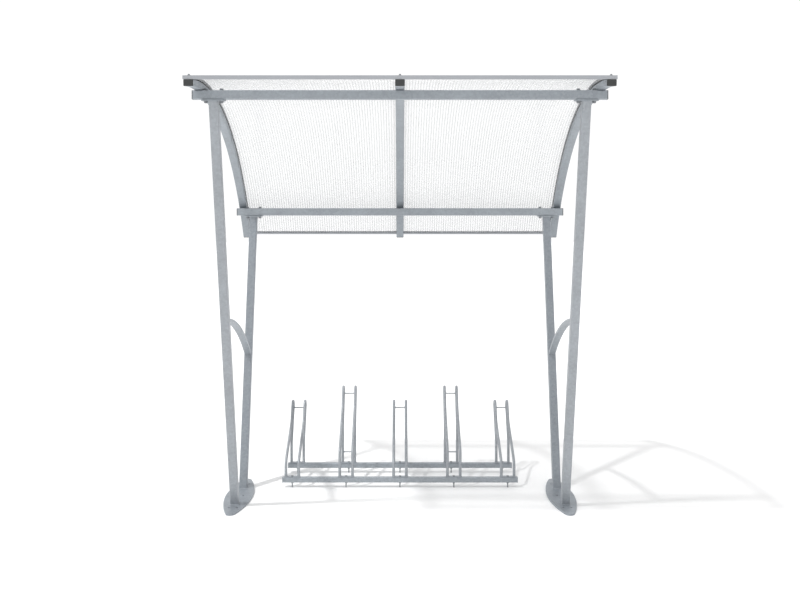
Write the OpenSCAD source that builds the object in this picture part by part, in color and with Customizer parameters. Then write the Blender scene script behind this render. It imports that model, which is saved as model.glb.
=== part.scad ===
// Bike shelter with a curved clear roof and a five-place wheel rack.
// Two V frames carry a front and a rear beam. Three curved ribs cross the
// beams and hold two multiwall sheets, clamped by cover strips on top.
// Millimetres, +Z up, +X to the right, +Y to the back. The origin lies on
// the ground, in the middle of the shelter's overall length and depth.

/* [V frames] */
// Distance between the middles of the two V frames
frame_spacing = 2022; // [1980:2:2060]
// Outside size of the square leg tube
leg_w = 50; // [40:5:60]
// Wall of the leg tube
leg_wall = 3; // [2:0.5:4]
// Outside radius of the corners of every square tube
tube_corner_r = 5; // [4:0.5:6]
// Lean of each leg from upright, in degrees
leg_lean = 15; // [13:0.5:17]
// Distance between the two legs' centre lines on the ground
leg_foot_gap = 314; // [280:2:360]

/* [Base plates] */
// Length of the elliptical base plate, front to back
plate_length = 700; // [600:10:800]
// Width of the elliptical base plate
plate_width = 168; // [140:2:220]
// Thickness of the base plate
plate_t = 12; // [8:1:16]
// Diameter of an anchor hole
anchor_d = 14; // [10:1:16]
// Distance between anchor holes across the plate
anchor_pitch_x = 50; // [40:2:60]
// Distance between rows of anchor holes along the plate
anchor_pitch_y = 235; // [225:1:250]
// Radius of the plate's two ends
plate_end_r = 28; // [22:1:50]

/* [Leg braces] */
// Radius of the brace's upper face
brace_r = 1800; // [1200:10:2400]
// Width of the brace bar
brace_w = 42; // [30:1:50]
// Thickness of the brace bar
brace_t = 16; // [6:1:20]
// Height at which the brace meets the front leg
brace_front_h = 1185; // [1100:5:1250]
// Height at which the brace meets the rear leg
brace_rear_h = 855; // [780:5:900]

/* [Beams] */
// Outside size of the square beam tube
beam_w = 50; // [40:5:60]
// Wall of the beam tube
beam_wall = 2.5; // [2:0.5:4]
// Length of each beam without its end caps
beam_length = 2242; // [2220:2:2400]
// Height of the front beam's underside
front_beam_h = 2421.5; // [2400:0.5:2440]
// Height of the rear beam's underside
rear_beam_h = 1756; // [1740:1:1780]
// Length of the head plate on a leg
head_plate_l = 128; // [120:2:140]
// Depth of the head plate, front to back
head_plate_d = 60; // [56:2:70]
// Thickness of the head plate
head_plate_t = 7; // [5:1:10]
// Total of the plate's length and depth that its clipped corners take away
head_plate_clip = 14; // [8:1:20]
// Distance between the two bolts of a head plate
head_bolt_pitch = 86; // [84:1:88]
// Diameter of the beam bolts
head_bolt_d = 12; // [8:1:12]

/* [Roof] */
// Radius of the ribs' underside
rib_r = 2117; // [2050:1:2300]
// Width of the rib tube
rib_w = 50; // [40:5:50]
// Depth of the rib tube
rib_h = 35; // [30:5:40]
// Wall of the rib tube
rib_wall = 2; // [1.5:0.5:3]
// Distance between neighbouring ribs
rib_spacing = 1090; // [1090:2:1100]
// Angle of the front end of the ribs, before the top of the arc
rib_front_angle = 4.9; // [4:0.1:6]
// Angle of the rear end of the ribs, past the top of the arc
rib_rear_angle = 54.15; // [53.5:0.05:55]
// Thickness of the multiwall sheet
sheet_t = 16; // [10:1:20]
// Thickness of the rubber seal between rib and sheet
seal_t = 2.5; // [2:0.5:4]
// Width of the cover strip over a rib
cover_w = 52; // [50:2:60]
// Thickness of the cover strip
cover_t = 2; // [2:0.5:4]
// Depth of the front edge profile
front_profile_depth = 32; // [25:1:40]
// Depth of the rear edge profile
rear_profile_depth = 12; // [12:1:30]

/* [Wheel rack] */
// Number of wheel places
places = 5; // [5:2:5]
// Distance between neighbouring wheel places
place_pitch = 350; // [320:5:370]
// Length of the two rack rails without their end plates
rail_length = 1523; // [1500:1:1640]
// Outside size of the square rail tube
rail_w = 33; // [30:1:40]
// Wall of the rail tube
rail_wall = 2; // [1.5:0.5:3]
// Height of the rails' underside
rail_h = 34; // [25:1:40]
// Depth from the middle of the base plates to the front rail
front_rail_y = 205; // [190:1:220]
// Depth from the middle of the base plates to the rear rail
rear_rail_y = 534; // [500:1:560]
// Outside diameter of a hoop tube
hoop_d = 18; // [16:1:20]
// Distance between the two tubes of a hoop pair
hoop_gap = 83; // [80:1:90]
// Height of the front bend of a low hoop
low_front_bend_h = 165; // [150:1:190]
// Height of the front bend of a high hoop
high_front_bend_h = 235; // [225:1:255]
// Height of the rear bend of a low hoop
low_rear_bend_h = 210; // [200:1:220]
// Height of the rear bend of a high hoop
high_rear_bend_h = 309; // [300:1:320]
// Lean of a hoop's upper part from upright, in degrees
finger_lean = 30; // [28:1:32]
// Distance between the front and rear line of a hoop's upper part
finger_gap = 58; // [54:1:62]
// Length of a hoop's upper part, from rear bend to top bend
finger_length = 248; // [240:1:270]
// Height of the front line's knee above the rear bend, measured along the upper part
knee_reach = 122; // [115:1:135]

/* [Hidden] */
$fn = 96;

// Heights and depths of the beams, measured from the base plates' middle
front_beam_y = -(leg_foot_gap / 2 + front_beam_h * tan(leg_lean));
rear_beam_y = leg_foot_gap / 2 + rear_beam_h * tan(leg_lean);
beam_cap_t = 4;
beam_cap_plug = 20;

// Length of the uncut leg tube, and how far it runs below the ground
leg_run = 3200;
leg_run_below = 200;

// The ribs rest on the upper rear edges of both beams. These two points and
// the radius give the middle of the rib arc, as [depth, height].
front_rest = [front_beam_y + beam_w / 2, front_beam_h + beam_w];
rear_rest = [rear_beam_y + beam_w / 2, rear_beam_h + beam_w];
arc_mid = arc_centre(front_rest, rear_rest, rib_r);

// Layers of the roof as radii from the middle of the arc
rib_top_r = rib_r + rib_h;
sheet_r = rib_top_r + seal_t;
cover_r = sheet_r + sheet_t;
roof_r = cover_r + cover_t;
profile_wall = seal_t;
rear_profile_overhang = 2;
front_profile_span = degrees_of(front_profile_depth);
rear_profile_span = degrees_of(rear_profile_depth);
profile_wall_span = degrees_of(profile_wall);
rear_profile_angle = rib_rear_angle + degrees_of(rear_profile_overhang);
front_profile_overhang = 5;
front_profile_length = 2 * (rib_spacing + front_profile_overhang) + rib_w;
rear_profile_length = 2 * rib_spacing + rib_w;

// Gaps of the sheets: between the two, under the strips' edges and at the ends
sheet_gap = 8;
sheet_edge_inset = 3;
sheet_edge = rib_spacing + cover_w / 2 - sheet_edge_inset;
sheet_end_clearance = 2;
sheet_clear_span = degrees_of(sheet_end_clearance);
rib_cap_t = 4;
rib_cap_plug = 20;

// Gussets between ribs and beams
gusset_t = 6;
gusset_reach = 40;
gusset_tip = 8;
gusset_rise = 10;

// Rack levels
foot_plate_t = 4;
foot_plate_l = hoop_gap + hoop_d;
rail_top = rail_h + rail_w;
foot_top = rail_top + foot_plate_t;
hoop_bend_r = 60;
joint_gap = 0.4;
ring_swell = 0.3;
rod_d = 8;
upper_rod_at = 241;
lower_rod_h = 142;
rack_bolt_d = 8;
rail_end_t = 3;

// Fixings: across-flats sizes and heights of hexagon heads and nuts
head_bolt_af = 18;
head_bolt_h = 8;
head_washer_d = 22;
head_washer_t = 2.5;
rack_bolt_af = 13;
rack_head_h = 5.5;
rack_nut_h = 7;
screw_af = 8;
screw_head_h = 5;
front_screw_washer_d = 16;
rear_screw_washer_d = 11;
screw_washer_t = 2.5;
hole_clearance = 1;

// Angles of the screws in the two edge profiles
front_screw_angle = front_profile_span / 2 - rib_front_angle;
rear_screw_angle = rear_profile_angle - rear_profile_span / 2;

// The rib caps reach furthest forward and the rear screws furthest back.
// The origin lies in the middle between them.
screw_top_r = roof_r + screw_washer_t + screw_head_h;
depth_front = arc_mid[0] - rib_top_r * sin(rib_front_angle + degrees_of(rib_cap_t));
depth_rear = arc_mid[0] + screw_top_r * sin(rear_screw_angle)
    + screw_af / 2 * cos(rear_screw_angle);
y0 = -(depth_front + depth_rear) / 2;

steel = [0.67, 0.69, 0.72];
alloy = [0.73, 0.74, 0.76];
black = [0.16, 0.17, 0.17];
clear = [0.93, 0.95, 0.97, 0.45];

// Middle of a circle of radius r through points a and b, below their chord
function arc_centre(a, b, r) =
    let (chord = b - a, half = norm(chord) / 2, drop = sqrt(r * r - half * half))
    (a + b) / 2 + drop * [chord[1], -chord[0]] / norm(chord);

// Angle, in degrees, that a length takes up along the sheet
function degrees_of(length) = length / sheet_r * 180 / PI;

// Left is -1 and right is 1, for pieces that come in pairs
function frame_x(side) = side * frame_spacing / 2;

// Depth of a leg's centre line at height h: end -1 is the front leg
function leg_y(end, h) = end * (leg_foot_gap / 2 + h * tan(leg_lean));

// Places rack pieces: index 0 is the leftmost place
function place_x(index) = (index - (places - 1) / 2) * place_pitch;

// Moves the base plates' middle from the drawing origin to its real depth
module placed() {
    translate([0, y0, 0]) children();
}

// Hexagonal prism with a given width across its flats
module hexagon(af, h) {
    cylinder(d = af / cos(30), h = h, $fn = 6);
}

// Rectangle with rounded corners, centred
module rounded_rectangle(w, h, r) {
    square([w - 2 * r, h], center = true);
    square([w, h - 2 * r], center = true);
    for (x = [-1, 1], y = [-1, 1])
        translate([x * (w / 2 - r), y * (h / 2 - r)]) circle(r = r, $fn = 32);
}

// Rounded square bar along X, centred on X and Y, standing on z = 0
module square_bar_x(length, w, r) {
    translate([-length / 2, 0, w / 2]) rotate([90, 0, 90])
        linear_extrude(length) rounded_rectangle(w, w, r);
}

// Square tube along X, centred on X and Y, standing on z = 0
module square_tube_x(length, w, wall) {
    difference() {
        square_bar_x(length, w, tube_corner_r);
        translate([0, 0, wall]) square_bar_x(length + 2, w - 2 * wall, tube_corner_r - wall);
    }
}

// Elliptical steel plate with a grid of six anchor holes
module base_plate(side) {
    color(steel) placed() translate([frame_x(side), 0, 0]) difference() {
        linear_extrude(plate_t) base_outline();
        for (column = [-0.5, 0.5], row = [-1, 0, 1])
            translate([column * anchor_pitch_x, row * anchor_pitch_y, -1])
                cylinder(d = anchor_d, h = plate_t + 2);
    }
}

// Oval outline: two broad side arcs run smoothly into two tight end arcs
module base_outline() {
    half_w = plate_width / 2;
    reach = plate_length / 2 - plate_end_r;
    side_r = (half_w * half_w + reach * reach - plate_end_r * plate_end_r)
        / (2 * (half_w - plate_end_r));
    meet = side_r * reach / (side_r - plate_end_r);
    intersection() {
        translate([side_r - half_w, 0]) circle(r = side_r, $fn = 360);
        translate([half_w - side_r, 0]) circle(r = side_r, $fn = 360);
        square([plate_width + 2, 2 * meet], center = true);
    }
    for (end = [-1, 1]) translate([0, end * reach]) circle(r = plate_end_r);
}

// Solid envelope of a leg, longer than the leg at both ends
module leg_envelope(side, end, size, corner_r) {
    translate([frame_x(side), leg_y(end, 0), 0]) rotate([-end * leg_lean, 0, 0])
        translate([0, 0, -leg_run_below])
            linear_extrude(leg_run) rounded_rectangle(size, size, corner_r);
}

// Leaning square tube, cut level at the base plate and at the head plate
module leg(side, end, beam_h) {
    color(steel) placed() intersection() {
        difference() {
            leg_envelope(side, end, leg_w, tube_corner_r);
            leg_envelope(side, end, leg_w - 2 * leg_wall, tube_corner_r - leg_wall);
        }
        translate([frame_x(side) - leg_w, -1500, plate_t])
            cube([2 * leg_w, 3000, beam_h - head_plate_t - plate_t]);
    }
}

// Block as deep as a leg and wider than it, which cuts a brace to fit the leg
module leg_cutter(side, end) {
    translate([frame_x(side), leg_y(end, 0), 0]) rotate([-end * leg_lean, 0, 0])
        translate([-leg_w, -leg_w / 2, -leg_run_below]) cube([2 * leg_w, leg_w, leg_run]);
}

// Curved flat bar between the two legs of a frame
module leg_brace(side) {
    front_end = [leg_y(-1, brace_front_h) + leg_w / 2 / cos(leg_lean), brace_front_h];
    rear_end = [leg_y(1, brace_rear_h) - leg_w / 2 / cos(leg_lean), brace_rear_h];
    middle = arc_centre(front_end, rear_end, brace_r);
    front_angle = atan2(front_end[0] - middle[0], front_end[1] - middle[1]) - 1;
    rear_angle = atan2(rear_end[0] - middle[0], rear_end[1] - middle[1]) + 1;
    color(steel) placed() difference() {
        translate([frame_x(side), middle[0], middle[1]])
            arc_bar(front_angle, rear_angle, brace_r - brace_t, brace_r, brace_w);
        leg_cutter(side, -1);
        leg_cutter(side, 1);
    }
}

// Bar that follows an arc about the X axis, from inner radius r1 to outer
// radius r2. Angles run from straight up towards the back.
module arc_bar(from, to, r1, r2, width) {
    rotate([0, 90, 0]) rotate([0, 0, 180 - to]) rotate_extrude(angle = to - from, $fn = 360)
        translate([r1, -width / 2]) square([r2 - r1, width]);
}

// Like arc_bar, with corners of radius r along the bar
module rounded_arc_bar(from, to, r1, r2, width, r) {
    rotate([0, 90, 0]) rotate([0, 0, 180 - to]) rotate_extrude(angle = to - from, $fn = 360)
        translate([(r1 + r2) / 2, 0]) rounded_rectangle(r2 - r1, width, r);
}

// Flat plate on top of a leg with clipped corners and two bolt holes
module head_plate(side, y, beam_h) {
    translate([frame_x(side), y, beam_h - head_plate_t]) difference() {
        linear_extrude(head_plate_t) intersection() {
            square([head_plate_l, head_plate_d], center = true);
            rotate(45)
                square((head_plate_l + head_plate_d) / sqrt(2) - head_plate_clip, center = true);
        }
        for (bolt = [-0.5, 0.5])
            translate([bolt * head_bolt_pitch, 0, -1])
                cylinder(d = head_bolt_d + hole_clearance, h = head_plate_t + 2);
    }
}

module head_plates(y, beam_h) {
    color(steel) placed() for (side = [-1, 1]) head_plate(side, y, beam_h);
}

// Square tube across both frames, drilled for the four frame bolts
module beam(y, beam_h) {
    color(steel) placed() translate([0, y, beam_h]) difference() {
        square_tube_x(beam_length, beam_w, beam_wall);
        for (side = [-1, 1], bolt = [-0.5, 0.5])
            translate([frame_x(side) + bolt * head_bolt_pitch, 0, -1])
                cylinder(d = head_bolt_d + hole_clearance, h = beam_w + 2);
    }
}

// Plastic end caps of a beam: a flange with a plug inside the tube
module beam_caps(y, beam_h) {
    plug = beam_w - 2 * beam_wall;
    color(black) placed() for (end = [-1, 1]) translate([0, y, beam_h]) {
        translate([end * (beam_length + beam_cap_t) / 2, 0, 0])
            square_bar_x(beam_cap_t, beam_w, tube_corner_r);
        translate([end * (beam_length - beam_cap_plug + 2) / 2, 0, beam_wall])
            square_bar_x(beam_cap_plug + 2, plug, tube_corner_r - beam_wall);
    }
}

// Hexagon bolts with washers through the beam and the head plate
module beam_bolts(y, beam_h) {
    bottom = beam_h - head_plate_t;
    color(steel) placed() for (side = [-1, 1], bolt = [-0.5, 0.5])
        translate([frame_x(side) + bolt * head_bolt_pitch, y, 0]) {
            translate([0, 0, beam_h + beam_w]) washer_and_hexagon();
            translate([0, 0, bottom]) mirror([0, 0, 1]) washer_and_hexagon();
            translate([0, 0, bottom - head_washer_t - head_bolt_h - 2])
                cylinder(d = head_bolt_d, h = beam_w + head_plate_t + head_bolt_h + 5);
        }
}

module washer_and_hexagon() {
    cylinder(d = head_washer_d, h = head_washer_t);
    translate([0, 0, head_washer_t]) hexagon(head_bolt_af, head_bolt_h);
}

// Places pieces at the middle of the rib arc
module on_arc(x) {
    placed() translate([x, arc_mid[0], arc_mid[1]]) children();
}

// Curved rectangular tube
module rib(x) {
    color(steel) on_arc(x) difference() {
        rounded_arc_bar(-rib_front_angle, rib_rear_angle,
            rib_r, rib_top_r, rib_w, tube_corner_r);
        rounded_arc_bar(-rib_front_angle - 1, rib_rear_angle + 1,
            rib_r + rib_wall, rib_top_r - rib_wall, rib_w - 2 * rib_wall,
            tube_corner_r - rib_wall);
    }
}

// Plastic end caps of the three ribs: end -1 is the front
module rib_caps(end) {
    cap = degrees_of(rib_cap_t);
    plug = degrees_of(rib_cap_plug);
    tip = end < 0 ? -rib_front_angle : rib_rear_angle;
    color(black) for (index = [-1, 0, 1]) on_arc(index * rib_spacing) {
        rounded_arc_bar(min(tip, tip + end * cap), max(tip, tip + end * cap),
            rib_r, rib_top_r, rib_w, tube_corner_r);
        rounded_arc_bar(min(tip - end * plug, tip + end * cap / 2),
            max(tip - end * plug, tip + end * cap / 2),
            rib_r + rib_wall, rib_top_r - rib_wall, rib_w - 2 * rib_wall,
            tube_corner_r - rib_wall);
    }
}

// Upright plates that join each rib to the back of each beam
module rib_gussets() {
    color(steel) for (index = [-1, 0, 1], rest = [front_rest, rear_rest])
        on_arc(index * rib_spacing) intersection() {
            rotate([0, 90, 0]) cylinder(r = rib_r, h = gusset_t, center = true, $fn = 720);
            translate([-gusset_t, rest[0] - arc_mid[0], rest[1] - arc_mid[1]])
                rotate([90, 0, 90]) linear_extrude(2 * gusset_t)
                    polygon([
                        [0, gusset_rise], [0, -gusset_reach], [gusset_tip, -gusset_reach],
                        [gusset_reach + gusset_tip, gusset_rise]
                    ]);
        }
}

// Black rubber strips on top of the ribs, under the sheets
module rib_seals() {
    color(black) for (index = [-1, 0, 1]) on_arc(index * rib_spacing)
        arc_bar(front_profile_span - rib_front_angle,
            rear_profile_angle - rear_profile_span, rib_top_r, sheet_r, rib_w);
}

// Curved multiwall sheet between the middle of the centre rib and an outer rib
module roof_sheet(side) {
    width = sheet_edge - sheet_gap / 2;
    color(clear) on_arc(side * (sheet_gap + width) / 2)
        arc_bar(profile_wall_span + sheet_clear_span - rib_front_angle,
            rear_profile_angle - profile_wall_span - sheet_clear_span,
            sheet_r, cover_r, width);
}

// Flat strip that clamps the sheets onto a rib
module cover_strip(x) {
    color(alloy) on_arc(x)
        arc_bar(front_profile_span - rib_front_angle,
            rear_profile_angle - rear_profile_span, cover_r, roof_r, cover_w);
}

// Channel that closes the sheets' end, with its open side at angle mouth
module edge_profile(tip, mouth, length) {
    inward = tip < mouth ? 1 : -1;
    color(alloy) on_arc(0) difference() {
        arc_bar(min(tip, mouth), max(tip, mouth), rib_top_r, roof_r, length);
        arc_bar(min(tip + inward * profile_wall_span, mouth + inward),
            max(tip + inward * profile_wall_span, mouth + inward),
            sheet_r, cover_r, length + 2);
    }
}

// Screws through both edge profiles, one over each rib
module edge_profile_screws() {
    color(steel) for (index = [-1, 0, 1]) on_arc(index * rib_spacing) {
        edge_profile_screw(front_screw_angle, front_screw_washer_d);
        edge_profile_screw(rear_screw_angle, rear_screw_washer_d);
    }
}

module edge_profile_screw(angle, washer_d) {
    rotate([-angle, 0, 0]) translate([0, 0, roof_r - 1]) {
        cylinder(d = washer_d, h = screw_washer_t + 1);
        translate([0, 0, screw_washer_t]) hexagon(screw_af, screw_head_h + 1);
    }
}

// Square rail drilled for one anchor bolt at each place
module rack_rail(y) {
    color(steel) placed() translate([0, y, rail_h]) difference() {
        square_tube_x(rail_length, rail_w, rail_wall);
        for (index = [0 : places - 1])
            translate([place_x(index), 0, -1])
                cylinder(d = rack_bolt_d + hole_clearance, h = rail_w + 2);
    }
}

// Thin plates welded over the ends of both rails
module rack_end_plates() {
    color(steel) placed() for (y = [front_rail_y, rear_rail_y], end = [-1, 1])
        translate([end * (rail_length + rail_end_t) / 2, y, rail_h + rail_w / 2])
            cube([rail_end_t, rail_w, rail_w], center = true);
}

// Plates that carry the feet of each hoop pair on the rails
module hoop_foot_plates() {
    color(steel) placed() for (y = [front_rail_y, rear_rail_y], index = [0 : places - 1])
        translate([place_x(index), y, rail_top]) difference() {
            translate([-foot_plate_l / 2, -rail_w / 2, 0])
                cube([foot_plate_l, rail_w, foot_plate_t]);
            translate([0, 0, -1])
                cylinder(d = rack_bolt_d + hole_clearance, h = foot_plate_t + 2);
        }
}

// Round bar from point a to point b, given as [depth, height]
module rod_between(a, b, d) {
    run = b - a;
    translate([0, a[0], a[1]]) rotate([-atan2(run[0], run[1]), 0, 0])
        cylinder(d = d, h = norm(run), $fn = 48);
}

// Round bar bent about the X axis: the arc that joins two straight runs
module rod_bend(start, heading, turn, r, d) {
    side = sign(turn);
    translate([0, start[0], start[1]]) rotate([-heading, 0, 0])
        translate([0, side * r, 0]) rotate([90, 0, 90]) rotate([0, 0, side > 0 ? 180 : 0])
            rotate([0, 0, side > 0 ? -abs(turn) : 0])
                rotate_extrude(angle = abs(turn)) translate([r, 0]) circle(d = d, $fn = 48);
}

// Heading from a to b, in degrees from straight up towards the back
function heading(a, b) = atan2(b[0] - a[0], b[1] - a[1]);

// Turn at corner i of a path, positive towards the back and down
function turn_at(path, i) =
    let (t = heading(path[i], path[i + 1]) - heading(path[i - 1], path[i]))
    t > 180 ? t - 360 : t < -180 ? t + 360 : t;

// Length that the bend at corner i takes from each straight run beside it
function cut_at(path, radii, i) =
    i == 0 || i == len(path) - 1 ? 0 : radii[i] * tan(abs(turn_at(path, i)) / 2);

// Tube along a path of [depth, height] corners with a bend at each corner.
// A thin ring closes the joint between each straight run and its bend.
module bent_tube(path, radii, d) {
    last = len(path) - 1;
    for (i = [0 : last - 1]) {
        run = path[i + 1] - path[i];
        along = run / norm(run);
        from = path[i] + along * cut_at(path, radii, i);
        to = path[i + 1] - along * cut_at(path, radii, i + 1);
        straight = norm(to - from) > 1;
        if (straight) {
            rod_between(from + (i > 0 ? joint_gap : 0) * along,
                to - (i < last - 1 ? joint_gap : 0) * along, d);
        }
        if (i > 0) {
            before = path[i] - path[i - 1];
            start = path[i] - before / norm(before) * cut_at(path, radii, i);
            rod_bend(start, heading(path[i - 1], path[i]), turn_at(path, i), radii[i], d);
            rod_between(from - along, from + along, d + ring_swell);
        }
        if (straight && i < last - 1) rod_between(to - along, to + along, d + ring_swell);
    }
}

// One place of the rack: two bent tubes joined by cross rods.
// Every second place, counted from the second, is a high one.
module wheel_hoop(index) {
    high = index % 2 == 1;
    front_bend_h = high ? high_front_bend_h : low_front_bend_h;
    rear_bend_h = high ? high_rear_bend_h : low_rear_bend_h;
    lean = [sin(finger_lean), cos(finger_lean)];
    rear_bend = [rear_rail_y, rear_bend_h];
    front_line = rear_bend + finger_gap * [-cos(finger_lean), sin(finger_lean)];
    top = finger_length + finger_gap / 2;
    path = [
        [front_rail_y, foot_top],
        [front_rail_y, front_bend_h],
        front_line + knee_reach * lean,
        front_line + top * lean,
        rear_bend + top * lean,
        rear_bend,
        [rear_rail_y, foot_top]
    ];
    top_r = finger_gap / 2;
    radii = [0, hoop_bend_r, hoop_bend_r, top_r, top_r, hoop_bend_r, 0];
    color(steel) placed() translate([place_x(index), 0, 0]) {
        for (tube = [-0.5, 0.5])
            translate([tube * hoop_gap, 0, 0]) bent_tube(path, radii, hoop_d);
        cross_rod(rear_bend + upper_rod_at * lean);
        if (high) cross_rod([rear_rail_y, lower_rod_h]);
    }
}

// Thin rod between the middles of a pair's two tubes
module cross_rod(at) {
    translate([-hoop_gap / 2, at[0], at[1]]) rotate([0, 90, 0])
        cylinder(d = rod_d, h = hoop_gap, $fn = 32);
}

// Bolts through plate and rail, with a nut under the rail and a foot on the ground
module rack_anchor_bolts() {
    color(steel) placed() for (y = [front_rail_y, rear_rail_y], index = [0 : places - 1])
        translate([place_x(index), y, 0]) {
            cylinder(d = rack_bolt_d, h = foot_top + 1);
            translate([0, 0, rail_h - rack_nut_h]) hexagon(rack_bolt_af, rack_nut_h);
            translate([0, 0, foot_top]) hexagon(rack_bolt_af, rack_head_h);
        }
}

base_plate(-1);  // base_plate_left
base_plate(1);  // base_plate_right
leg(-1, -1, front_beam_h);  // front_leg_left
leg(1, -1, front_beam_h);  // front_leg_right
leg(-1, 1, rear_beam_h);  // rear_leg_left
leg(1, 1, rear_beam_h);  // rear_leg_right
leg_brace(-1);  // leg_brace_left
leg_brace(1);  // leg_brace_right
head_plates(front_beam_y, front_beam_h);  // front_head_plates
head_plates(rear_beam_y, rear_beam_h);  // rear_head_plates
beam(front_beam_y, front_beam_h);  // front_beam
beam(rear_beam_y, rear_beam_h);  // rear_beam
beam_caps(front_beam_y, front_beam_h);  // front_beam_caps
beam_caps(rear_beam_y, rear_beam_h);  // rear_beam_caps
beam_bolts(front_beam_y, front_beam_h);  // front_beam_bolts
beam_bolts(rear_beam_y, rear_beam_h);  // rear_beam_bolts
rib(-rib_spacing);  // rib_left
rib(0);  // rib_centre
rib(rib_spacing);  // rib_right
rib_caps(-1);  // rib_front_caps
rib_caps(1);  // rib_rear_caps
rib_gussets();
rib_seals();
roof_sheet(-1);  // roof_sheet_left
roof_sheet(1);  // roof_sheet_right
cover_strip(-rib_spacing);  // cover_strip_left
cover_strip(0);  // cover_strip_centre
cover_strip(rib_spacing);  // cover_strip_right
edge_profile(-rib_front_angle, front_profile_span - rib_front_angle, front_profile_length);  // front_edge_profile
edge_profile(rear_profile_angle, rear_profile_angle - rear_profile_span, rear_profile_length);  // rear_edge_profile
edge_profile_screws();
rack_rail(front_rail_y);  // rack_front_rail
rack_rail(rear_rail_y);  // rack_rear_rail
rack_end_plates();
hoop_foot_plates();
wheel_hoop(0);  // wheel_hoop_1
wheel_hoop(1);  // wheel_hoop_2
wheel_hoop(2);  // wheel_hoop_3
wheel_hoop(3);  // wheel_hoop_4
wheel_hoop(4);  // wheel_hoop_5
rack_anchor_bolts();
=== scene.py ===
"""Looks of a bike shelter with a curved clear roof and a five-place wheel rack.

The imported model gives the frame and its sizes. Each sub-assembly has a class that
dresses its nodes, and builds the pieces that the model leaves out or holds in plain
form.
"""

import logging
import math
from dataclasses import dataclass, field
from enum import Enum, IntEnum
from typing import Any, Iterable, Sequence

import bpy
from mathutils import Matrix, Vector, noise

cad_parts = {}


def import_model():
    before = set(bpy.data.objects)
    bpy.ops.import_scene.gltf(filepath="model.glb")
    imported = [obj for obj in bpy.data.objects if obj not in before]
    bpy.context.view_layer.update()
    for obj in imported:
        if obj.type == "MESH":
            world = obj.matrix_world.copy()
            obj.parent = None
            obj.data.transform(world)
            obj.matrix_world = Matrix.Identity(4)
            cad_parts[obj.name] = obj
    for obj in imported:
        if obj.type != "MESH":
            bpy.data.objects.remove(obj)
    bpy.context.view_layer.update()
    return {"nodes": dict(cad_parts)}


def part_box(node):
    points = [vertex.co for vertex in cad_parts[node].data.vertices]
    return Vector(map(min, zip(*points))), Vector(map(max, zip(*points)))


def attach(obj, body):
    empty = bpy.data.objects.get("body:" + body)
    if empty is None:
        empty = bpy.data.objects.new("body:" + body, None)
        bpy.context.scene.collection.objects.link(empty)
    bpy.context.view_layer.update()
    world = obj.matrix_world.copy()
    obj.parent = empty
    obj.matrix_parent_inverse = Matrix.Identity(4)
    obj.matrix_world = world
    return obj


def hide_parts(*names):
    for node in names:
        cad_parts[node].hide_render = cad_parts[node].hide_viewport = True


LOG = logging.getLogger("bike_shelter")
Colour = tuple[float, float, float]
Point = tuple[float, float, float]
Side = tuple[int, ...]
Profile = tuple[tuple[float, float], ...]
Range = tuple[float, float]
# Faces that meet at less than this many degrees are shaded as one smooth surface
SMOOTH_BELOW = 35
# Points nearer to each other than this, in metres, count as one
SAME_POINT = 1e-5


class Slot(Enum):
    """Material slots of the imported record."""

    STEEL = "galvanised_steel"
    ALUMINIUM = "edge_aluminium"
    BOLTS = "zinc_bolts"
    PLASTIC = "black_plastic"
    RUBBER = "seal_rubber"
    SHEET = "clear_sheet"


class ZincTone(Enum):
    """Tones of the zinc: the plain middle tone, plus a lighter copy that is painted light and a
    darker copy that is painted shade.
    """

    # Painted light: the zinc made lighter for parts that should look lit.
    PAINTED_LIGHT = (0.334, 0.355, 0.379)
    MIDDLE = (0.318, 0.346, 0.374)
    # Painted shade: the zinc made darker for parts that should look shaded.
    PAINTED_SHADE = (0.278, 0.303, 0.332)


class Layers(Enum):
    """How many finer layers a noise has."""

    FEW = 2.0
    SOME = 3.0
    MANY = 4.0


class Reach(Enum):
    """Which of the two hoop heights a wheel place has."""

    LOW = "low"
    HIGH = "high"


class Wall(IntEnum):
    """Material slots of a multiwall sheet's mesh."""

    SKIN = 0
    WEB = 1
    FILLET = 2


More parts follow.
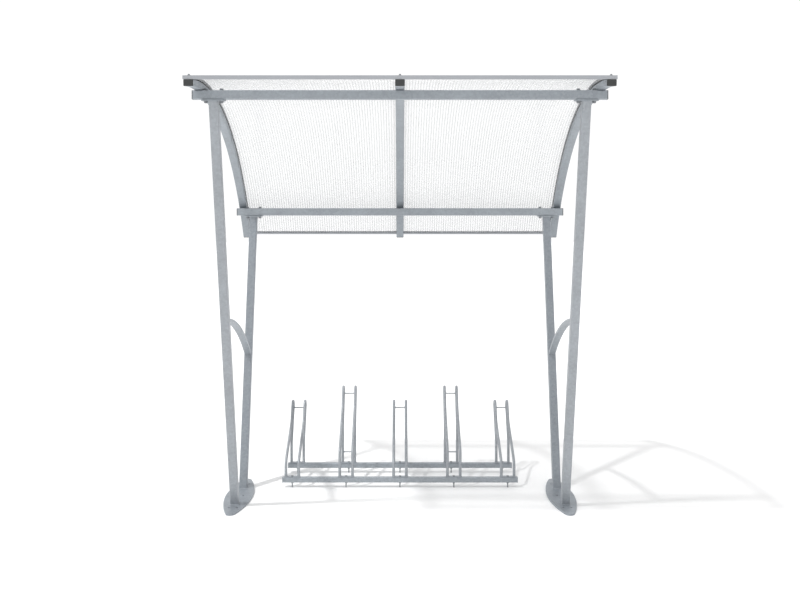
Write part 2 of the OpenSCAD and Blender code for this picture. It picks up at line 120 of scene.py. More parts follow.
class Shader:
    """Node tree of one material, with short calls that add and join nodes."""

    def __init__(self, name: str) -> None:
        """Start a material with a Principled shader.

        Args:
            name: Name of the material.
        """
        self.material: bpy.types.Material = bpy.data.materials.new(name)
        self.material.use_nodes = True
        self.tree: bpy.types.NodeTree = self.material.node_tree
        self.surface: bpy.types.Node = self.tree.nodes["Principled BSDF"]
        self.place: bpy.types.NodeSocket = self.add("ShaderNodeTexCoord").outputs["Object"]

    def add(self, kind: str, **settings: Any) -> bpy.types.Node:
        """Add a node.

        Args:
            kind: Blender's name of the node type.
            settings: Attributes of the node to set.

        Returns:
            The new node.
        """
        node = self.tree.nodes.new(kind)
        for key, value in settings.items():
            setattr(node, key, value)
        return node

    def join(self, source: bpy.types.NodeSocket, target: bpy.types.NodeSocket) -> None:
        """Link an output to an input."""
        self.tree.links.new(source, target)

    def stretched(self, scale: Point) -> bpy.types.NodeSocket:
        """Stretch the object coordinates.

        Args:
            scale: Factor for each axis.

        Returns:
            The stretched coordinates.
        """
        node = self.add("ShaderNodeMapping")
        node.inputs["Scale"].default_value = scale
        self.join(self.place, node.inputs["Vector"])
        return node.outputs["Vector"]

    def clouds(
        self,
        size: float = 1.0,
        layers: Layers = Layers.FEW,
        at: bpy.types.NodeSocket | None = None,
    ) -> bpy.types.NodeSocket:
        """Smooth noise.

        Args:
            size: Width of a cloud in metres.
            layers: Number of finer layers.
            at: Coordinates to use in place of plain object coordinates.

        Returns:
            A factor from 0 to 1.
        """
        node = self.add("ShaderNodeTexNoise")
        node.inputs["Scale"].default_value = 1.0 / size
        node.inputs["Detail"].default_value = layers.value
        self.join(at or self.place, node.inputs["Vector"])
        return node.outputs["Fac"]

    def crystals(self, size: float) -> bpy.types.NodeSocket:
        """Crystals with a random grey each.

        Args:
            size: Width of a crystal in metres.

        Returns:
            The grey of the crystal, from 0 to 1.
        """
        cells = self.add("ShaderNodeTexVoronoi")
        cells.inputs["Scale"].default_value = 1.0 / size
        self.join(self.place, cells.inputs["Vector"])
        grey = self.add("ShaderNodeRGBToBW")
        self.join(cells.outputs["Color"], grey.inputs["Color"])
        return grey.outputs["Val"]

    def spread(self, factor: bpy.types.NodeSocket, span: Range) -> bpy.types.NodeSocket:
        """Map a factor from 0..1 to a range.

        Args:
            factor: The factor.
            span: Low and high end of the range.

        Returns:
            The mapped value.
        """
        node = self.add("ShaderNodeMapRange")
        node.inputs["To Min"].default_value = span[0]
        node.inputs["To Max"].default_value = span[1]
        self.join(factor, node.inputs["Value"])
        return node.outputs["Result"]

    def times(
        self, first: bpy.types.NodeSocket, second: bpy.types.NodeSocket
    ) -> bpy.types.NodeSocket:
        """Multiply two values.

        Args:
            first: One value.
            second: The other value.

        Returns:
            Their product.
        """
        node = self.add("ShaderNodeMath", operation="MULTIPLY")
        self.join(first, node.inputs[0])
        self.join(second, node.inputs[1])
        return node.outputs["Value"]

    def paint(self, colour: Colour, brightness: bpy.types.NodeSocket) -> None:
        """Give the surface a colour with a varying brightness.

        Args:
            colour: The colour.
            brightness: Factor on the colour.
        """
        node = self.add("ShaderNodeVectorMath", operation="SCALE")
        node.inputs[0].default_value = colour
        self.join(brightness, node.inputs["Scale"])
        self.join(node.outputs["Vector"], self.surface.inputs["Base Color"])

    def roughen(self, factor: bpy.types.NodeSocket, span: Range) -> None:
        """Let the roughness follow a factor over a range."""
        self.join(self.spread(factor, span), self.surface.inputs["Roughness"])

    def bump(self, height: bpy.types.NodeSocket, depth: float) -> None:
        """Raise the surface a little.

        Args:
            height: Height map from 0 to 1.
            depth: Depth of the map in metres.
        """
        node = self.add("ShaderNodeBump")
        node.inputs["Distance"].default_value = depth
        self.join(height, node.inputs["Height"])
        self.join(node.outputs["Normal"], self.surface.inputs["Normal"])

    def set(self, **values: Any) -> None:
        """Set constant values on the surface shader's own sockets.

        Args:
            values: Values by socket name, with _ for a space.
        """
        for key, value in values.items():
            socket = self.surface.inputs[key.replace("_", " ")]
            socket.default_value = (*value, 1.0) if isinstance(value, tuple) else value


@dataclass(frozen=True)
class Galvanised:
    """Hot-dip zinc on steel: small crystals under slow cloudy changes of grey."""

    # Tone of the zinc; the lighter and darker tones are painted light and painted shade.
    lit_tone: ZincTone = ZincTone.MIDDLE
    metal: float = 0.35
    crystal: float = 0.011
    crystal_tone: Range = (0.90, 1.10)
    cloud: float = 0.16
    cloud_tone: Range = (0.86, 1.14)
    rough: Range = (0.36, 0.58)
    rough_patch: float = 0.03
    grain: float = 0.006
    grain_depth: float = 0.00025

    def make(self, name: str) -> bpy.types.Material:
        """Build the material.

        Args:
            name: Name of the material.

        Returns:
            The material.
        """
        shader = Shader(name)
        crystals = shader.spread(shader.crystals(self.crystal), self.crystal_tone)
        clouds = shader.spread(shader.clouds(self.cloud, Layers.MANY), self.cloud_tone)
        shader.paint(self.lit_tone.value, shader.times(crystals, clouds))
        shader.roughen(shader.clouds(self.rough_patch, Layers.SOME), self.rough)
        shader.bump(shader.clouds(self.grain, Layers.SOME), self.grain_depth)
        shader.set(Metallic=self.metal)
        return shader.material


@dataclass(frozen=True)
class Anodised:
    """Drawn aluminium with fine lines along X, which repeat at rates per metre."""

    colour: Colour = (0.385, 0.40, 0.425)
    metal: float = 0.5
    lines: Point = (6.0, 900.0, 900.0)
    line_tone: Range = (0.94, 1.06)
    line_depth: float = 0.0001
    cloud: float = 0.3
    cloud_tone: Range = (0.93, 1.07)
    rough: Range = (0.36, 0.50)

    def make(self, name: str) -> bpy.types.Material:
        """Build the material.

        Args:
            name: Name of the material.

        Returns:
            The material.
        """
        shader = Shader(name)
        lines = shader.clouds(at=shader.stretched(self.lines))
        clouds = shader.clouds(self.cloud)
        tone = shader.times(
            shader.spread(lines, self.line_tone), shader.spread(clouds, self.cloud_tone)
        )
        shader.paint(self.colour, tone)
        shader.roughen(lines, self.rough)
        shader.bump(lines, self.line_depth)
        shader.set(Metallic=self.metal)
        return shader.material


@dataclass(frozen=True)
class ZincPlated:
    """Zinc-plated bolts and nuts, a little darker than the tubes."""

    colour: Colour = (0.27, 0.285, 0.30)
    metal: float = 0.6
    cloud: float = 0.012
    cloud_tone: Range = (0.82, 1.18)
    rough: Range = (0.30, 0.50)
    rough_patch: float = 0.005
    grain: float = 0.002
    grain_depth: float = 0.0001

    def make(self, name: str) -> bpy.types.Material:
        """Build the material.

        Args:
            name: Name of the material.

        Returns:
            The material.
        """
        shader = Shader(name)
        clouds = shader.clouds(self.cloud, Layers.MANY)
        shader.paint(self.colour, shader.spread(clouds, self.cloud_tone))
        shader.roughen(shader.clouds(self.rough_patch), self.rough)
        shader.bump(shader.clouds(self.grain), self.grain_depth)
        shader.set(Metallic=self.metal)
        return shader.material


@dataclass(frozen=True)
class MouldedPlastic:
    """Moulded black plastic or rubber with a fine eroded grain."""

    colour: Colour = (0.034, 0.036, 0.036)
    cloud: float = 0.02
    cloud_tone: Range = (0.85, 1.15)
    rough: Range = (0.49, 0.65)
    grain: float = 0.0012
    grain_depth: float = 0.00012

    def make(self, name: str) -> bpy.types.Material:
        """Build the material.

        Args:
            name: Name of the material.

        Returns:
            The material.
        """
        shader = Shader(name)
        clouds = shader.clouds(self.cloud, Layers.SOME)
        shader.paint(self.colour, shader.spread(clouds, self.cloud_tone))
        grain = shader.clouds(self.grain)
        shader.roughen(grain, self.rough)
        shader.bump(grain, self.grain_depth)
        return shader.material


@dataclass(frozen=True)
class Polycarbonate:
    """Clear multiwall sheet: see-through walls with a slight milky tone."""

    colour: Colour = (0.92, 0.93, 0.94)
    cloud: float = 0.35
    cloud_tone: Range = (0.985, 1.0)
    alpha: float = 0.12
    alpha_change: float = 0.1
    alpha_patch: float = 0.5
    rough: float = 0.12
    refraction: float = 1.58

    def make(self, name: str) -> bpy.types.Material:
        """Build the material.

        Args:
            name: Name of the material.

        Returns:
            The material.
        """
        shader = Shader(name)
        shader.paint(self.colour, shader.spread(shader.clouds(self.cloud), self.cloud_tone))
        span = (self.alpha * (1 - self.alpha_change), self.alpha * (1 + self.alpha_change))
        veil = shader.spread(shader.clouds(self.alpha_patch), span)
        shader.join(veil, shader.surface.inputs["Alpha"])
        shader.set(Roughness=self.rough, IOR=self.refraction)
        return shader.material


class Plan:
    """Grows one mesh from points and rows of rings, and turns it into an object."""

    def __init__(self) -> None:
        """Start with an empty mesh."""
        self.points: list[Point] = []
        self.faces: list[Side] = []
        self.finishes: list[int] = []

    def add(
        self, points: Iterable[Sequence[float]], faces: Iterable[Side], finish: int = 0
    ) -> None:
        """Add points, and faces that number those points from 0.

        Args:
            points: New points.
            faces: Faces over the new points.
            finish: Index of the material slot of the new faces.
        """
        start = len(self.points)
        self.points.extend(tuple(p) for p in points)
        for face in faces:
            self.faces.append(tuple(start + i for i in face))
            self.finishes.append(finish)

    def tube(self, rings: Sequence[Sequence[Sequence[float]]], closed: bool = False) -> None:
        """Skin a row of rings with the same number of points each.

        Args:
            rings: Rings of points in order along the tube.
            closed: Whether the last ring joins the first; else both ends are capped.
        """
        count, size = len(rings), len(rings[0])
        faces: list[Side] = []
        for i in range(count if closed else count - 1):
            a, b = i * size, (i + 1) % count * size
            for j in range(size):
                k = (j + 1) % size
                faces.append((a + j, a + k, b + k, b + j))
        if not closed:
            faces.append(tuple(reversed(range(size))))
            faces.append(tuple((count - 1) * size + j for j in range(size)))
        self.add([p for ring in rings for p in ring], faces)

    def build(
        self, name: str, materials: Sequence[bpy.types.Material], smooth: bool = True
    ) -> bpy.types.Object:
        """Make the object.

        Args:
            name: Name of the object.
            materials: Materials for the slots.
            smooth: Whether faces that meet at a small angle are shaded smooth.

        Returns:
            The linked object.
        """
        mesh = bpy.data.meshes.new(name)
        mesh.from_pydata(self.points, [], self.faces)
        for material in materials:
            mesh.materials.append(material)
        mesh.polygons.foreach_set("material_index", self.finishes)
        mesh.validate()
        if smooth:
            mesh.shade_smooth()
            mesh.set_sharp_from_angle(angle=math.radians(SMOOTH_BELOW))
        mesh.update()
        piece = bpy.data.objects.new(name, mesh)
        bpy.context.collection.objects.link(piece)
        return piece


def settle(piece: bpy.types.Object, slot: Slot, *stands_for: str) -> None:
    """Attach a finished piece to the body and hide the CAD nodes it stands for.

    Args:
        piece: The piece, which rides on the one body.
        slot: Not used.
        stands_for: CAD nodes that it is shown in place of.
    """
    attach(piece, "root")
    if stands_for:
        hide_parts(*stands_for)
    LOG.info("%s: %d faces", piece.name, len(piece.data.polygons))


def turns(count: int) -> list[float]:
    """Angles in radians of a number of even stops round a circle."""
    return [math.tau * k / count for k in range(count)]


def middle(node: str) -> Vector:
    """Middle of a CAD node's box."""
    low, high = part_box(node)
    return (Vector(low) + Vector(high)) / 2


@dataclass
class Dresser:
    """Gives the CAD nodes that stay in view their materials."""

    nodes: dict[str, bpy.types.Object]
    finishes: dict[Slot | ZincTone, bpy.types.Material]

    def dress(self, slot: Slot | ZincTone, *names: str) -> None:
        """Assign a finish to CAD nodes.

        Args:
            slot: Which finish, or which tone of zinc, whose lighter and darker tones are painted
                light and painted shade.
            names: The nodes.
        """
        for name in names:
            mesh = self.nodes[name].data
            mesh.materials.clear()
            mesh.materials.append(self.finishes[slot])
            LOG.info("%s: %s", name, slot.name.lower())


@dataclass
class Bead:
    """A run of weld bead along a closed outline, with the ripples of the weld."""

    radius: float = 0.0042
    ripple: float = 0.0006
    ripple_turn: float = 1.9
    lump: float = 0.0025
    step: float = 0.003
    sides: int = 8

    def along(self, plan: Plan, outline: Sequence[Vector]) -> None:
        """Lay the bead.

        Args:
            plan: Mesh to add to.
            outline: Corners of the closed outline.
        """
        path: list[Vector] = []
        for a, b in zip(outline, [*outline[1:], outline[0]]):
            count = max(1, round((b - a).length / self.step))
            path.extend(a.lerp(b, i / count) for i in range(count))
        rings = []
        for i, at in enumerate(path):
            along = (path[(i + 1) % len(path)] - path[i - 1]).normalized()
            side = along.cross(Vector((0, 0, 1))).normalized()
            up = side.cross(along)
            swell = self.ripple * math.sin(i * self.ripple_turn)
            swell += self.ripple * noise.noise(at / self.lump)
            radius = self.radius + swell
            rings.append(
                [at + radius * (math.cos(t) * side + math.sin(t) * up) for t in turns(self.sides)]
            )
        plan.tube(rings, closed=True)


@dataclass
class VFrames:
    """The two V frames: base plates, leaning legs, braces and head plates."""

    dresser: Dresser
    leg: float = 0.050
    lean: float = 15.0
    corner: float = 0.005
    bead: Bead = field(default_factory=Bead)

    def make(self) -> None:
        """Dress the CAD nodes and add the welds."""
        # Painted light and shade: the front legs get the lighter copy of the zinc, and the rear
        # legs and base plates the darker copy.
        self.dresser.dress(ZincTone.PAINTED_LIGHT, "front_leg_left", "front_leg_right")
        self.dresser.dress(ZincTone.PAINTED_SHADE, "rear_leg_left", "rear_leg_right")
        self.dresser.dress(ZincTone.PAINTED_SHADE, "base_plate_left", "base_plate_right")
        self.dresser.dress(ZincTone.MIDDLE, "leg_brace_left", "leg_brace_right")
        self.dresser.dress(ZincTone.MIDDLE, "front_head_plates", "rear_head_plates")
        for side in ("left", "right"):
            self.weld_legs(side)

    def weld_legs(self, side: str) -> None:
        """Lay a bead round both ends of both legs of one frame.

        Args:
            side: "left" or "right".
        """
        plan = Plan()
        for end in ("front", "rear"):
            node = f"{end}_leg_{side}"
            low, high = (Vector(c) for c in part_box(node))
            depth = self.leg / math.cos(math.radians(self.lean))
            back = high.y if end == "rear" else low.y + depth
            foot = low.y if end == "rear" else high.y - depth
            top = back - depth
            for y, z in ((foot, low.z), (top, high.z)):
                outline = self.footprint((low.x + high.x) / 2, y, depth, z)
                self.bead.along(plan, outline)
        piece = plan.build(f"leg_welds_{side}", [self.dresser.finishes[ZincTone.MIDDLE]])
        settle(piece, Slot.STEEL)

    def footprint(self, x: float, y: float, depth: float, z: float) -> list[Vector]:
        """Outline of a leg's cut end, with its rounded corners.

        Args:
            x: Middle of the leg's width.
            y: Front of the cut end.
            depth: Depth of the cut end.
            z: Height of the cut end.

        Returns:
            Points round the outline.
        """
        across, along = self.leg / 2 - self.corner, depth / 2 - self.corner
        outline: list[Vector] = []
        for i, (way_x, way_y) in enumerate(((1, 1), (-1, 1), (-1, -1), (1, -1))):
            centre = Vector((x + way_x * across, y + depth / 2 + way_y * along, z))
            for part in (0.0, 0.5, 1.0):
                turn = math.radians(90 * (i + part))
                outline.append(
                    centre + self.corner * Vector((math.cos(turn), math.sin(turn), 0))
                )
        return outline


@dataclass
class Beams:
    """Front and rear beam with end caps and the bolts to the head plates."""

    dresser: Dresser

    def make(self) -> None:
        """Dress the CAD nodes."""
        self.dresser.dress(ZincTone.MIDDLE, "front_beam", "rear_beam")
        self.dresser.dress(Slot.PLASTIC, "front_beam_caps", "rear_beam_caps")
        self.dresser.dress(Slot.BOLTS, "front_beam_bolts", "rear_beam_bolts")


@dataclass
class RoofArc:
    """The arc that the ribs and the roof layers follow, in the Y-Z plane.

    Angles run in degrees from straight up towards the back.
    """

    roof_radius: float = 2.1725
    rib_top_radius: float = 2.152
    rear_angle: float = 54.15

    def __post_init__(self) -> None:
        """Find the middle of the arc from the boxes of the strip and the rib."""
        strip_low, strip_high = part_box("cover_strip_centre")
        rib_low, rib_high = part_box("rib_centre")
        self.z: float = strip_high[2] - self.roof_radius
        self.y: float = rib_high[1] - self.rib_top_radius * math.sin(
            math.radians(self.rear_angle)
        )

    def at(self, radius: float, angle: float, x: float) -> Point:
        """The point at a radius and an angle, at width x."""
        turn = math.radians(angle)
        return (x, self.y + radius * math.sin(turn), self.z + radius * math.cos(turn))


@dataclass
class RoofFrame:
    """Curved ribs with caps, gussets and seals."""

    dresser: Dresser

    def make(self) -> None:
        """Dress the CAD nodes."""
        self.dresser.dress(ZincTone.MIDDLE, "rib_left", "rib_centre", "rib_right", "rib_gussets")
        self.dresser.dress(Slot.PLASTIC, "rib_front_caps", "rib_rear_caps")
        self.dresser.dress(Slot.RUBBER, "rib_seals")


@dataclass
class Glazing:
    """Multiwall sheets with their inner walls, cover strips and edge profiles.

    The washer and the head of a screw are rows of (radius, height) steps.
    """

    dresser: Dresser
    arc: RoofArc
    inner_radius: float = 2.1545
    outer_radius: float = 2.1705
    front_angle: float = -4.780
    rear_angle: float = 54.084
    cell: float = 0.016
    skin: float = 0.0012
    web: float = 0.0010
    fillet: float = 0.0020
    steps: int = 60
    screws: int = 8
    first_screw: float = 8.0
    last_screw: float = 51.0
    screw_sink: float = 0.0003
    washer: Profile = ((0.0072, 0.0), (0.0078, 0.0010), (0.0062, 0.0019))
    washer_sides: int = 24
    head: Profile = ((0.0052, 0.0012), (0.0052, 0.0050), (0.0044, 0.0060))
    head_sides: int = 6
    skin_finish: Polycarbonate = field(default_factory=Polycarbonate)
    web_finish: Polycarbonate = field(
        default_factory=lambda: Polycarbonate(colour=(0.86, 0.88, 0.89), alpha=0.16)
    )
    # The fillets are painted grey: painted shade for the darker look of the cell corners in the
    # clear sheet.
    fillet_finish: Polycarbonate = field(
        default_factory=lambda: Polycarbonate(colour=(0.56, 0.57, 0.59), alpha=0.30)
    )

    def make(self) -> None:
        """Build both sheets and the strip screws, and dress the strips and profiles."""
        materials = [
            self.skin_finish.make("clear_sheet_skin"),
            self.web_finish.make("clear_sheet_webs"),
            self.fillet_finish.make("clear_sheet_fillets"),
        ]
        for side in ("left", "right"):
            self.sheet(side, materials)
        names = ["cover_strip_left", "cover_strip_centre", "cover_strip_right"]
        names += ["front_edge_profile", "rear_edge_profile"]
        self.dresser.dress(Slot.ALUMINIUM, *names)
        self.dresser.dress(Slot.BOLTS, "edge_profile_screws")
        for side in ("left", "centre", "right"):
            self.strip_screws(side)

    def strip_screws(self, side: str) -> None:
        """Self-drilling screws with washers along one cover strip.

        Args:
            side: "left", "centre" or "right".
        """
        x = middle(f"cover_strip_{side}").x
        plan = Plan()
        span = self.last_screw - self.first_screw
        for i in range(self.screws):
            angle = self.first_screw + span * i / (self.screws - 1)
            turn = math.radians(angle)
            up = Vector((0, math.sin(turn), math.cos(turn)))
            along = Vector((0, math.cos(turn), -math.sin(turn)))
            across = Vector((1, 0, 0))
            foot = Vector(self.arc.at(self.arc.roof_radius - self.screw_sink, angle, x))
            for profile, sides in (
                (self.washer, self.washer_sides),
                (self.head, self.head_sides),
            ):
                rings = [
                    [
                        foot + h * up + r * (math.cos(t) * across + math.sin(t) * along)
                        for t in turns(sides)
                    ]
                    for r, h in profile
                ]
                plan.tube(rings)
        piece = plan.build(f"strip_screws_{side}", [self.dresser.finishes[Slot.BOLTS]])
        settle(piece, Slot.BOLTS)

    def sheet(self, side: str, materials: Sequence[bpy.types.Material]) -> None:
        """Build one sheet as a closed form with a row of cells that follow the arc.

        Args:
            side: "left" or "right".
            materials: Finishes in the order of Wall.
        """
        node = f"roof_sheet_{side}"
        low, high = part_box(node)
        count = max(1, round((high[0] - low[0]) / self.cell))
        pitch = (high[0] - low[0]) / count
        plan = Plan()
        stops = [
            self.front_angle + (self.rear_angle - self.front_angle) * i / self.steps
            for i in range(self.steps + 1)
        ]
        self.shell(plan, low[0], high[0], stops)
        for i in range(count):
            left = low[0] + i * pitch + self.web / 2
            right = low[0] + (i + 1) * pitch - self.web / 2
            self.cell_walls(plan, left, right, stops)
        for angle, flip in ((stops[0], False), (stops[-1], True)):
            self.end_face(plan, low[0], high[0], count, angle, flip)
        piece = plan.build(f"multiwall_sheet_{side}", materials, smooth=False)
        settle(piece, Slot.SHEET, node)

    def shell(self, plan: Plan, left: float, right: float, stops: Sequence[float]) -> None:
        """Outer skins and the two long edges.

        Args:
            plan: Mesh to add to.
            left: Left edge of the sheet.
            right: Right edge of the sheet.
            stops: Angles of the stops along the arc.
        """
        corners = [
            (self.inner_radius, left),
            (self.inner_radius, right),
            (self.outer_radius, right),
            (self.outer_radius, left),
        ]
        self.sweep(plan, corners, stops, (Wall.SKIN,) * len(corners), False)

    def cell_walls(self, plan: Plan, left: float, right: float, stops: Sequence[float]) -> None:
        """Inside faces of one cell: skins and webs, with a fillet in each corner.

        Args:
            plan: Mesh to add to.
            left: Left wall of the cell.
            right: Right wall of the cell.
            stops: Angles of the stops along the arc.
        """
        low, high = self.inner_radius + self.skin, self.outer_radius - self.skin
        cut = self.fillet
        corners = [
            (low, left + cut),
            (low, right - cut),
            (low + cut, right),
            (high - cut, right),
            (high, right - cut),
            (high, left + cut),
            (high - cut, left),
            (low + cut, left),
        ]
        walls = (Wall.SKIN, Wall.FILLET, Wall.WEB, Wall.FILLET) * 2
        self.sweep(plan, corners, stops, walls, True)

    def sweep(
        self,
        plan: Plan,
        corners: Sequence[tuple[float, float]],
        stops: Sequence[float],
        walls: Sequence[Wall],
        inward: bool,
    ) -> None:
        """Sweep a closed outline of (radius, x) corners along the arc.

        Args:
            plan: Mesh to add to.
            corners: The outline.
            stops: Angles of the stops along the arc.
            walls: Material slot of each side of the outline.
            inward: Whether the faces look into the outline.
        """
        size = len(corners)
        points = [self.arc.at(r, a, x) for a in stops for r, x in corners]
        for j, wall in enumerate(walls):
            k = (j + 1) % size
            faces: list[Side] = []
            for i in range(len(stops) - 1):
                a, b = i * size, (i + 1) * size
                face = (a + j, b + j, b + k, a + k)
                faces.append(tuple(reversed(face)) if inward else face)
            used = sorted({v for face in faces for v in face})
            where = {v: n for n, v in enumerate(used)}
            plan.add(
                [points[v] for v in used],
                [tuple(where[v] for v in face) for face in faces],
                wall,
            )

    def end_face(
        self, plan: Plan, left: float, right: float, count: int, angle: float, flip: bool
    ) -> None:
        """The cut end of a sheet: two skins and the webs between them.

        Args:
            plan: Mesh to add to.
            left: Left edge of the sheet.
            right: Right edge of the sheet.
            count: Number of cells.
            angle: Angle of the end.
            flip: Whether the end looks towards the back.
        """
        pitch = (right - left) / count
        radii = (
            self.inner_radius,
            self.inner_radius + self.skin,
            self.outer_radius - self.skin,
            self.outer_radius,
        )
        half = self.web / 2
        spans = [(radii[0], radii[1], left, right), (radii[2], radii[3], left, right)]
        for i in range(count + 1):
            x = left + i * pitch
            spans.append((radii[1], radii[2], max(left, x - half), min(right, x + half)))
        for low, high, x0, x1 in spans:
            corners = [(low, x0), (low, x1), (high, x1), (high, x0)]
            points = [self.arc.at(r, angle, x) for r, x in corners]
            plan.add(points, [(3, 2, 1, 0) if flip else (0, 1, 2, 3)], Wall.WEB)


@dataclass
class WheelRack:
    """Free-standing rack: rails, foot plates, anchor bolts and bent hoops.

    The collar of a rod's weld is a row of (depth in the tube, swell of the rod) steps.
    """

    dresser: Dresser
    places: int = 5
    tube: float = 0.018
    pair: float = 0.083
    rod: float = 0.008
    bend: float = 0.060
    finger_lean: float = 30.0
    finger_gap: float = 0.058
    finger: float = 0.248
    knee: float = 0.122
    upper_rod: float = 0.241
    lower_rod: float = 0.142
    front_bend: dict[Reach, float] = field(
        default_factory=lambda: {Reach.LOW: 0.165, Reach.HIGH: 0.235}
    )
    rear_bend: dict[Reach, float] = field(
        default_factory=lambda: {Reach.LOW: 0.210, Reach.HIGH: 0.309}
    )
    tube_sides: int = 28
    rod_sides: int = 16
    bend_step: float = 6.0
    fewest_steps: int = 3
    foot_bead: Bead = field(default_factory=lambda: Bead(radius=0.0022))
    foot_stops: int = 24
    collar: Profile = ((0.001, 1.0), (0.001, 1.45), (-0.002, 1.3), (-0.004, 1.0))

    def make(self) -> None:
        """Dress rails and plates, then build each hoop pair."""
        names = ["rack_front_rail", "rack_rear_rail", "rack_end_plates", "hoop_foot_plates"]
        self.dresser.dress(ZincTone.MIDDLE, *names)
        self.dresser.dress(Slot.BOLTS, "rack_anchor_bolts")
        for place in range(self.places):
            self.hoop(place, Reach.HIGH if place % 2 else Reach.LOW)

    def finger_way(self) -> Vector:
        """Direction in which the fingers point, up and to the back."""
        turn = math.radians(self.finger_lean)
        return Vector((0, math.sin(turn), math.cos(turn)))

    def rear_corner(self, reach: Reach) -> Vector:
        """The corner where a hoop's rear post turns into its finger."""
        return Vector((0, middle("rack_rear_rail").y, self.rear_bend[reach]))

    def corners(self, reach: Reach) -> list[Vector]:
        """Find the corners of a hoop's centre line.

        Args:
            reach: Which hoop.

        Returns:
            The corners as (0, y, z), from the front foot to the rear foot.
        """
        front, rear = middle("rack_front_rail").y, middle("rack_rear_rail").y
        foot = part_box("hoop_foot_plates")[1][2]
        lean = self.finger_way()
        back = self.rear_corner(reach)
        line = back + self.finger_gap * Vector((0, -lean.z, lean.y))
        top = (self.finger + self.finger_gap / 2) * lean
        return [
            Vector((0, front, foot)),
            Vector((0, front, self.front_bend[reach])),
            line + self.knee * lean,
            line + top,
            back + top,
            back,
            Vector((0, rear, foot)),
        ]

    def centre_line(self, reach: Reach) -> list[Vector]:
        """Round the corners of a hoop's centre line.

        Args:
            reach: Which hoop.

        Returns:
            Points along the line, with an arc at each corner.
        """
        corners = self.corners(reach)
        tight = self.finger_gap / 2
        radii = [self.bend, self.bend, tight, tight, self.bend]
        line = [corners[0]]
        for before, at, after, radius in zip(corners, corners[1:], corners[2:], radii):
            into, out = (at - before).normalized(), (after - at).normalized()
            angle = into.angle(out)
            cut = radius * math.tan(angle / 2)
            start = at - into * cut
            inward = (out - into * into.dot(out)).normalized()
            count = max(self.fewest_steps, round(math.degrees(angle) / self.bend_step))
            for i in range(count + 1):
                t = angle * i / count
                point = start + radius * (math.sin(t) * into + (1 - math.cos(t)) * inward)
                if (point - line[-1]).length > SAME_POINT:
                    line.append(point)
        line.append(corners[-1])
        return line

    def hoop(self, place: int, reach: Reach) -> None:
        """Build one pair of bent tubes with their rods and foot welds.

        Args:
            place: Number of the wheel place, from 0.
            reach: Which hoop it has.
        """
        node = f"wheel_hoop_{place + 1}"
        x = middle(node).x
        plan = Plan()
        line = self.centre_line(reach)
        for side in (-0.5, 0.5):
            offset = Vector((x + side * self.pair, 0, 0))
            self.bent(plan, [p + offset for p in line])
            for foot in (line[0], line[-1]):
                ring = [
                    foot + offset + self.tube / 2 * Vector((math.cos(t), math.sin(t), 0))
                    for t in turns(self.foot_stops)
                ]
                self.foot_bead.along(plan, ring)
        back = self.rear_corner(reach)
        rods = [back + self.upper_rod * self.finger_way()]
        if reach is Reach.HIGH:
            rods.append(Vector((0, back.y, self.lower_rod)))
        for rod in rods:
            self.cross_rod(plan, rod + Vector((x, 0, 0)))
        # The hoops take the lighter copy of the zinc: painted light.
        piece = plan.build(f"bent_hoop_{place + 1}", [self.dresser.finishes[ZincTone.PAINTED_LIGHT]])
        settle(piece, Slot.STEEL, node)

    def bent(self, plan: Plan, line: Sequence[Vector]) -> None:
        """Sweep the round tube along a line in an upright plane.

        Args:
            plan: Mesh to add to.
            line: Points along the line.
        """
        rings = []
        across = Vector((1, 0, 0))
        for i, at in enumerate(line):
            before = line[max(0, i - 1)]
            after = line[min(len(line) - 1, i + 1)]
            along = (after - before).normalized()
            up = along.cross(across)
            rings.append(
                [
                    at + self.tube / 2 * (math.cos(t) * across + math.sin(t) * up)
                    for t in turns(self.tube_sides)
                ]
            )
        plan.tube(rings)

    def cross_rod(self, plan: Plan, at: Vector) -> None:
        """A thin rod between the two tubes, with a small weld collar at each end.

        Args:
            plan: Mesh to add to.
            at: Middle of the rod.
        """
        half = self.pair / 2
        wide = half - self.tube / 2
        profile = [
            (-half, 1.0),
            *((-wide - depth, swell) for depth, swell in self.collar),
            *((wide + depth, swell) for depth, swell in reversed(self.collar)),
            (half, 1.0),
        ]
        rings = [
            [
                at + Vector((x, 0, 0))
                + self.rod / 2 * swell * Vector((0, math.cos(t), math.sin(t)))
                for t in turns(self.rod_sides)
            ]
            for x, swell in profile
        ]
        plan.tube(rings)


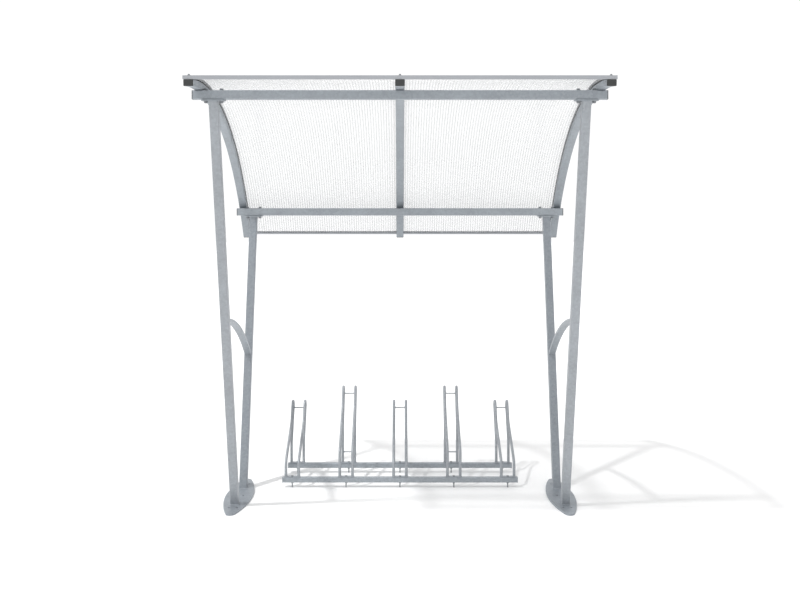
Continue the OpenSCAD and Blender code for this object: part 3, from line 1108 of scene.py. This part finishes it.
@dataclass
class Studio:
    """Pale floor, white surround, soft sun and camera."""

    floor_size: float = 60.0
    floor_colour: Colour = (0.93, 0.93, 0.93)
    floor_cloud: float = 2.0
    floor_tone: Range = (0.995, 1.005)
    floor_rough: float = 0.9
    sky: float = 0.93
    sky_slope: Point = (-0.03, 0.12, -0.03)
    sun: float = 1.8
    sun_width: float = 3.0
    sun_way: Point = (0.50, 0.33, -1.0)
    eye_height: float = 1.93
    eye_distance: float = 6.0597
    pitch: float = 0.7
    lens: float = 43.52
    drop: float = -0.12236

    def make(self) -> None:
        """Build floor, light and camera."""
        self.floor()
        self.light()
        self.camera()

    def floor(self) -> None:
        """A plain pale floor at the level the shelter stands on."""
        half = self.floor_size / 2
        corners = [(-half, -half, 0), (half, -half, 0), (half, half, 0), (-half, half, 0)]
        plan = Plan()
        plan.add(corners, [(0, 1, 2, 3)])
        shader = Shader("floor_paint")
        tone = shader.spread(shader.clouds(self.floor_cloud), self.floor_tone)
        shader.paint(self.floor_colour, tone)
        shader.set(Roughness=self.floor_rough)
        floor = plan.build("floor", [shader.material], smooth=False)

    def light(self) -> None:
        """A white surround, brighter at the back, and a soft sun from the front left."""
        world = bpy.data.worlds.new("surround")
        world.use_nodes = True
        tree = world.node_tree
        way = tree.nodes.new("ShaderNodeTexCoord")
        slope = tree.nodes.new("ShaderNodeVectorMath")
        slope.operation = "DOT_PRODUCT"
        slope.inputs[1].default_value = self.sky_slope
        level = tree.nodes.new("ShaderNodeMath")
        level.inputs[1].default_value = self.sky
        tree.links.new(way.outputs["Generated"], slope.inputs[0])
        tree.links.new(slope.outputs["Value"], level.inputs[0])
        background = tree.nodes["Background"]
        background.inputs["Color"].default_value = (1, 1, 1, 1)
        tree.links.new(level.outputs["Value"], background.inputs["Strength"])
        bpy.context.scene.world = world
        lamp = bpy.data.lights.new("sun", "SUN")
        lamp.energy = self.sun
        lamp.angle = math.radians(self.sun_width)
        sun = bpy.data.objects.new("sun", lamp)
        sun.rotation_euler = Vector(self.sun_way).to_track_quat("-Z", "Y").to_euler()
        bpy.context.collection.objects.link(sun)
        bpy.context.scene.view_settings.view_transform = "Standard"

    def camera(self) -> None:
        """A nearly level camera in front of the middle, with the horizon above the middle."""
        plates = (middle("base_plate_left") + middle("base_plate_right")) / 2
        data = bpy.data.cameras.new("camera")
        data.lens = self.lens
        data.shift_y = self.drop
        camera = bpy.data.objects.new("camera", data)
        camera.location = (plates.x, plates.y - self.eye_distance, self.eye_height)
        camera.rotation_euler = (math.radians(90 - self.pitch), 0, 0)
        bpy.context.collection.objects.link(camera)
        bpy.context.scene.camera = camera


def main() -> None:
    """Load the frame and build the studio and every sub-assembly."""
    logging.basicConfig(level=logging.INFO, format="%(name)s: %(message)s")
    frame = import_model()
    seal = MouldedPlastic(colour=(0.05, 0.05, 0.05), rough=(0.64, 0.80))
    finishes: dict[Slot | ZincTone, bpy.types.Material] = {
        # The light and dull copies of the zinc are painted light and painted shade.
        ZincTone.PAINTED_LIGHT: Galvanised(ZincTone.PAINTED_LIGHT).make("painted_light_zinc"),
        ZincTone.MIDDLE: Galvanised().make("hot_dip_zinc"),
        ZincTone.PAINTED_SHADE: Galvanised(ZincTone.PAINTED_SHADE).make("painted_shade_zinc"),
        Slot.ALUMINIUM: Anodised().make("drawn_aluminium"),
        Slot.BOLTS: ZincPlated().make("plated_bolts"),
        Slot.PLASTIC: MouldedPlastic().make("black_plastic"),
        Slot.RUBBER: seal.make("seal_rubber"),
    }
    Studio().make()
    dresser = Dresser(frame["nodes"], finishes)
    VFrames(dresser).make()
    Beams(dresser).make()
    RoofFrame(dresser).make()
    Glazing(dresser, RoofArc()).make()
    WheelRack(dresser).make()


if __name__ == "__main__":
    main()
